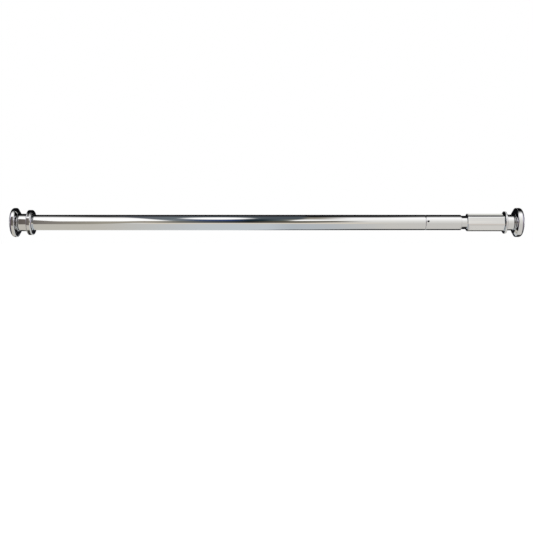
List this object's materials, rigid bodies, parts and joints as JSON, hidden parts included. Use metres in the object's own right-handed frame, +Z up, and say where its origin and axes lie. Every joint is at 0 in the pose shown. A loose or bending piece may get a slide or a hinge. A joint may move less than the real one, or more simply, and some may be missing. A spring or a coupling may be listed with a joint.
{
  "type": "pull up bar",
  "caption": "Telescoping chin-up bar: a round chromed tube with a rubber-padded cup at each end, widened in a doorway by turning a hexagonal sleeve.",
  "frame": {"origin": "centre of the outer face of the left rubber pad, on the axis of the bar", "axes": "+X along the bar towards the sleeve end, +Z up, -Y towards the user who faces the bar"},
  "size_m": [0.843, 0.048, 0.048],
  "materials": {
    "chrome": "bright chromium plate, polished",
    "plated_steel": "zinc-plated machined steel",
    "dark_steel": "black oxide",
    "rubber": "matt moulded rubber",
    "nylon": "natural nylon"
  },
  "bodies": {
    "left_end": {"left_rubber_pad": "rubber", "left_end_cup": "chrome", "left_washer": "plated_steel", "left_flanged_neck": "chrome"},
    "bar": {"main_tube": "chrome", "left_tube_plug": "plated_steel", "left_pivot_bolt": "plated_steel", "left_thrust_ring": "nylon", "thread_nut": "plated_steel", "nut_lock_pin": "dark_steel"},
    "right_end": {"right_flanged_neck": "chrome", "right_end_cup": "chrome", "right_washer": "plated_steel", "right_rubber_pad": "rubber"},
    "screw": {"jack_screw": "plated_steel", "slide_tube": "chrome", "hex_sleeve": "chrome", "hex_lock_screw": "dark_steel", "glide_bush": "nylon", "glide_clip": "dark_steel", "screw_end_plug": "plated_steel", "right_pivot_bolt": "plated_steel", "right_thrust_ring": "nylon"}
  },
  "joints": [
    {"name": "left_swivel", "type": "hinge", "parent": "left_end", "child": "bar", "pos_m": [0.0135, 0, 0], "axis": [1, 0, 0], "continuous": true},
    {"name": "extension", "type": "slide", "parent": "bar", "child": "right_end", "axis": [1, 0, 0], "range_m": [0, 0.1]},
    {"name": "sleeve_turn", "type": "hinge", "parent": "right_end", "child": "screw", "pos_m": [0.812, 0, 0], "axis": [1, 0, 0], "range_deg": [0, 7200]}
  ],
  "couplings": [
    {"joint": "extension", "follows": "sleeve_turn", "m_per_rad": 0.00079577}
  ]
}
